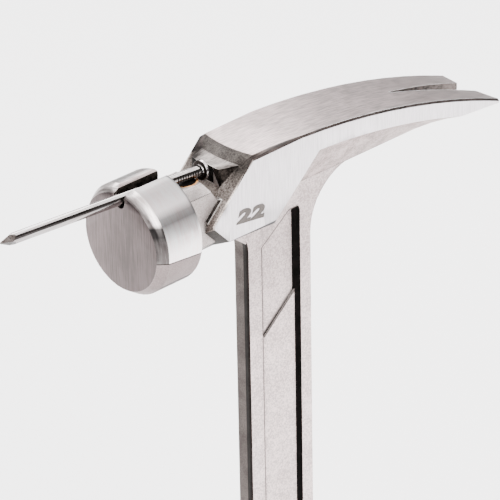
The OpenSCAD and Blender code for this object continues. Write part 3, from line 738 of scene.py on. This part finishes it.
class HAMMER_OT_nail(bpy.types.Operator):
    """Makes the bright nail, with gripper marks under its head and a diamond point"""
    bl_idname = "hammer.nail"
    bl_label = "Nail"

    def execute(self, context):
        grips = [(GRIP_START + k) * MM for k in range(GRIP_COUNT)]
        seat = Vector(((FACE_X + ANVIL_X - NAIL_HEAD_T - NAIL_ROOM) * MM, 0, (AXIS_Z + NAIL_Z) * MM))
        place = Matrix.Translation(seat) @ Matrix.Rotation(math.radians(NAIL_TILT) - math.pi / 2, 4, "Y")
        shape = nail_shape(grips)
        bmesh.ops.transform(shape, matrix=place, verts=shape.verts)
        mesh = bpy.data.meshes.new("nail")
        shape.to_mesh(mesh)
        shape.free()
        mesh.set_sharp_from_angle(angle=math.radians(28))
        piece = bpy.data.objects.new("nail", mesh)
        context.scene.collection.objects.link(piece)
        # Bright steel wire, pulled through a die that polished it: faint lines along it, shown 0.3 mm apart
        mesh.materials.append(worked_metal(
            "bright_drawn_wire", "#8B8483", "#B5B1B0", rough=(0.08, 0.16), grain=(8, 0.3, 0.3),
            relief=0.002, mottle=(9, 0.3), rim="#9E9E9E", rim_mm=0.1))
        # The underside of the head, cold-headed, painted dark as painted shade
        mesh.materials.append(worked_metal(
            "die_scale", "#15110F", "#3A3330", rough=(0.35, 0.5), grain=(0.4, 0.4, 0.4),
            relief=0.02, mottle=(2, 0.5), rim="#8C8480", rim_mm=0.1))
        # The point's flats are pinched off by cutters, with a dull grain, and painted dark as a painted
        # dark reflection
        mesh.materials.append(worked_metal(
            "pinched_point", "#171413", "#3F3A38", rough=(0.25, 0.4), grain=(0.3, 0.3, 2),
            relief=0.02, mottle=(2, 0.5), rim="#8B8583", rim_mm=0.15))
        # A painted dark reflection, in a band along each side of the wire and in the gripper marks: smooth,
        # near black
        mesh.materials.append(worked_metal(
            "drawing_streak", "#0F0D0C", "#2A2625", rough=(0.12, 0.24), grain=(8, 0.3, 0.3),
            relief=0.002, mottle=(9, 0.3), rim_mm=0.1))
        scale, flats, streak = 1, 2, 3
        along = place.to_3x3() @ Vector((0, 0, 1))
        upward = place.to_3x3() @ Vector((1, 0, 0))
        flats_start = (NAIL_LEN - NAIL_HEAD_T - POINT_LEN + 0.2) * MM
        for face in mesh.polygons:
            from_seat = face.center - seat
            depth = from_seat.dot(along)
            facing_along = face.normal.dot(along)
            facing_up = face.normal.dot(upward)
            in_grip = any(0 < depth - start < GRIP_WIDE * MM for start in grips)
            # the underside of the head takes its painted shade
            if facing_along > 0.7 and from_seat.length < (NAIL_HEAD_R + 0.15) * MM:
                face.material_index = scale
            elif depth > flats_start and facing_along > 0.1:
                face.material_index = flats
            # the painted dark reflection: a band along each side, and the gripper marks' lower part
            elif depth > 0.3 * MM and 0.5 < facing_up < 0.76:
                face.material_index = streak
            elif in_grip and -0.6 < facing_up < 0.34:
                face.material_index = streak
        low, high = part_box("framing_nail")
        xs = [(piece.matrix_world @ Vector(corner)).x for corner in piece.bound_box]
        if min(xs) < low[0] - NAIL_PLAY * MM or max(xs) > high[0] + NAIL_PLAY * MM:
            raise RuntimeError(f"the nail leaves its place: {xs} against {low[0]} to {high[0]}")
        finished(piece, "nail_steel", "nail", "framing_nail")
        return {"FINISHED"}


class HAMMER_OT_mark(bpy.types.Operator):
    """Etches the plain weight number on the near cheek"""
    bl_idname = "hammer.mark"
    bl_label = "Weight mark"

    def execute(self, context):
        sizes = context.scene.hammer.sizes
        curve = bpy.data.curves.new("weight_mark", "FONT")
        curve.body = "22"
        curve.shear = MARK_SHEAR
        curve.offset = MARK_WEIGHT
        curve.space_character = MARK_SPACING
        curve.extrude = MARK_EXTRUDE
        curve.resolution_u = 6
        writing = bpy.data.objects.new("weight_mark_text", curve)
        context.scene.collection.objects.link(writing)
        context.view_layer.update()
        mesh = bpy.data.meshes.new_from_object(writing)
        bpy.data.objects.remove(writing)
        xs = [v.co.x for v in mesh.vertices]
        ys = [v.co.y for v in mesh.vertices]
        wide, high = max(xs) - min(xs), max(ys) - min(ys)
        stretch = (sizes.mark_wide / wide, sizes.mark_high / high, MARK_THICK / MARK_EXTRUDE * MM, 1)
        fit = Matrix.Diagonal(stretch) @ Matrix.Translation((-min(xs), -min(ys), 0))
        lean = Matrix.Rotation(math.atan2(MARK_FALL, MARK_RUN), 4, "Y")
        upright = Matrix.Rotation(math.pi / 2, 4, "X")
        taper = math.radians(SIDE_TAPER)
        cheek = HALF_WIDTH + (MARK_X + MARK_MIDDLE - WIDTH_X) * math.tan(taper)
        place = Matrix.Translation(((FACE_X + MARK_X) * MM, -cheek * MM, (AXIS_Z + MARK_Z) * MM))
        mesh.transform(place @ Matrix.Rotation(-taper, 4, "Z") @ lean @ upright @ fit)
        piece = bpy.data.objects.new("weight_mark", mesh)
        context.scene.collection.objects.link(piece)
        # Steel, etched: a dull grey-brown, all but flush with the cheek
        mesh.materials.clear()
        mesh.materials.append(worked_metal(
            "etched_steel", "#57524F", "#6D6764", rough=(0.5, 0.65), grain=(0.35, 0.35, 0.35),
            relief=0.01, mottle=(3, 0.4)))
        finished(piece, "forged_steel", "hammer")
        return {"FINISHED"}


def rib_cover(mesh):
    """Presses grooves across both sides of the cover, which fade out towards its front and back."""
    shape = bmesh.new()
    shape.from_mesh(mesh)
    levels = [(RIB_LOW + RIB_PITCH * k) * MM for k in range(RIB_COUNT)]
    for level in levels:
        for step in (-RIB_END, -RIB_FLAT, RIB_FLAT, RIB_END):
            bmesh.ops.bisect_plane(shape, geom=shape.verts[:] + shape.edges[:] + shape.faces[:],
                                   dist=0.01 * MM, plane_co=(0, 0, level + step * MM), plane_no=(0, 0, 1))
    shape.normal_update()
    for vert in shape.verts:
        outside = abs(vert.co.x) > BORE_X * MM or abs(vert.co.y) > BORE_Y * MM
        if outside and min(abs(vert.co.z - level) for level in levels) < (RIB_FLAT + 0.1) * MM:
            vert.co.y -= vert.normal.y * abs(vert.normal.y) * RIB_DEEP * MM
    for face in shape.faces:
        face.smooth = True
    shape.to_mesh(mesh)
    shape.free()
    mesh.set_sharp_from_angle(angle=math.radians(40))


class HAMMER_OT_grip(bpy.types.Operator):
    """Dresses the liner, the core, the soft cover and the butt cap"""
    bl_idname = "hammer.grip"
    bl_label = "Grip"

    def execute(self, context):
        finish = context.scene.hammer.finish
        # Foam rubber, cut from sheet: dull and fine-celled
        liner = merged_copy("liner", "damping_liner")
        liner.data.materials.append(moulded(
            "liner_foam_rubber", "#0B0B0B", "#141414", rough=(0.75, 0.9), pebble=0.5, relief=0.05,
            gloss=0.2))
        finished(liner, "liner_rubber", "hammer", "damping_liner")
        # Glass-filled nylon, injection-moulded: a fine matte
        core = merged_copy("core", "grip_core")
        core.data.materials.append(moulded(
            "core_nylon", "#0D0D0E", "#171719", rough=(0.45, 0.6), pebble=0.35, relief=0.02))
        finished(core, "core_plastic", "hammer", "grip_core")
        # Thermoplastic rubber, moulded over the core: pebbled, soft and slightly dusty
        cover = merged_copy("cover", "grip_cover")
        rib_cover(cover.data)
        cover.data.materials.append(moulded(
            "cover_rubber", "#0C0C0D", finish.rubber, rough=(0.6, 0.78), pebble=0.8, relief=0.12,
            gloss=0.2))
        finished(cover, "cover_rubber", "hammer", "grip_cover")
        # The same nylon as the core, a shade lighter
        cap = merged_copy("cap", "butt_cap")
        cap.data.materials.append(moulded(
            "cap_nylon", "#151516", "#1F1F21", rough=(0.45, 0.6), pebble=0.35, relief=0.02))
        finished(cap, "cap_plastic", "hammer", "butt_cap")
        return {"FINISHED"}


class HAMMER_OT_stage(bpy.types.Operator):
    """Lays the floor, hangs the soft lights and sets the camera at the photograph's viewing angle"""
    bl_idname = "hammer.stage"
    bl_label = "Stage"

    def execute(self, context):
        stage = context.scene.hammer.stage
        scene = context.scene
        shape = bmesh.new()
        bmesh.ops.create_grid(shape, x_segments=1, y_segments=1, size=FLOOR_REACH)
        bmesh.ops.translate(shape, verts=shape.verts, vec=(0, 0, -FLOOR_GAP * MM))
        mesh = bpy.data.meshes.new("floor")
        shape.to_mesh(mesh)
        shape.free()
        floor = bpy.data.objects.new("floor", mesh)
        scene.collection.objects.link(floor)
        # Floor paint, rolled on: matte, with nothing to see in it
        material, tree = fresh("matte_floor_paint")
        shader = node(tree, "ShaderNodeBsdfPrincipled", {"Base Color": (*stage.floor, 1), "Roughness": 0.8})
        node(tree, "ShaderNodeOutputMaterial", {"Surface": shader.outputs[0]})
        mesh.materials.append(material)

        # A bright ceiling over a dimmer horizon, which polished steel shows as bands
        world = bpy.data.worlds.new("soft_room")
        world.use_nodes = True
        world.node_tree.nodes.clear()
        tree = world.node_tree
        way = node(tree, "ShaderNodeTexCoord").outputs["Generated"]
        height = node(tree, "ShaderNodeSeparateXYZ", {0: way}).outputs["Z"]
        strength = node(tree, "ShaderNodeMapRange", {
            "Value": height, "From Min": SKY_LOW, "From Max": SKY_HIGH,
            "To Min": SKY_DIM * stage.sky, "To Max": stage.sky}, interpolation_type="SMOOTHSTEP")
        sky = node(tree, "ShaderNodeBackground", {"Color": SKY_TINT, "Strength": strength.outputs[0]})
        node(tree, "ShaderNodeOutputWorld", {"Surface": sky.outputs[0]})
        scene.world = world

        head = Vector((0, 0, AXIS_Z * MM))
        for name, power, place, wide in SOFTBOXES:
            lamp = bpy.data.lights.new(name, "AREA")
            lamp.shape = "SQUARE"
            lamp.size = wide
            lamp.energy = getattr(stage, power)
            softbox = bpy.data.objects.new(name, lamp)
            aim = (head - Vector(place)).to_track_quat("-Z", "Y").to_matrix().to_4x4()
            softbox.matrix_world = Matrix.Translation(place) @ aim
            scene.collection.objects.link(softbox)

        turn, rise, roll = (math.radians(v) for v in (VIEW_TURN, VIEW_RISE, VIEW_ROLL))
        back = Vector((-math.sin(turn) * math.cos(rise), -math.cos(turn) * math.cos(rise), math.sin(rise)))
        level = Vector((math.cos(turn), -math.sin(turn), 0))
        plumb = back.cross(level)
        right = math.cos(roll) * level - math.sin(roll) * plumb
        up = math.sin(roll) * level + math.cos(roll) * plumb
        face = Vector((FACE_X, 0, AXIS_Z))
        eye = face - (FACE_ASIDE * right - FACE_BELOW * up - VIEW_FAR * back)
        lens = bpy.data.cameras.new("camera")
        lens.lens = LENS
        lens.sensor_width = SENSOR
        lens.clip_start = 0.01
        lens.clip_end = 50
        camera = bpy.data.objects.new("camera", lens)
        axes = Matrix((right, up, back)).transposed().to_4x4()
        camera.matrix_world = Matrix.Translation(eye * MM) @ axes
        scene.collection.objects.link(camera)
        scene.camera = camera
        return {"FINISHED"}


class HAMMER_PT_panel(bpy.types.Panel):
    """Sizes, colours and steps of the hammer"""
    bl_idname = "HAMMER_PT_panel"
    bl_label = "Framing hammer"
    bl_space_type = "VIEW_3D"
    bl_region_type = "UI"
    bl_category = "Hammer"

    def draw(self, context):
        settings = context.scene.hammer
        for group in (settings.finish, settings.sizes, settings.stage):
            box = self.layout.box()
            for name in group.__annotations__:
                box.prop(group, name)
        for step in STEPS:
            self.layout.operator("hammer." + step)


STEPS = ("forging", "starter", "nail", "mark", "grip", "stage")
CLASSES = (HammerFinish, HammerSizes, HammerStage, HammerSettings, HAMMER_OT_forging, HAMMER_OT_starter,
           HAMMER_OT_nail, HAMMER_OT_mark, HAMMER_OT_grip, HAMMER_OT_stage, HAMMER_PT_panel)


def register():
    for cls in CLASSES:
        bpy.utils.register_class(cls)
    bpy.types.Scene.hammer = PointerProperty(type=HammerSettings)


def unregister():
    del bpy.types.Scene.hammer
    for cls in reversed(CLASSES):
        bpy.utils.unregister_class(cls)


def main():
    register()
    for step in STEPS:
        getattr(bpy.ops.hammer, step)()


if __name__ == "__main__":
    main()
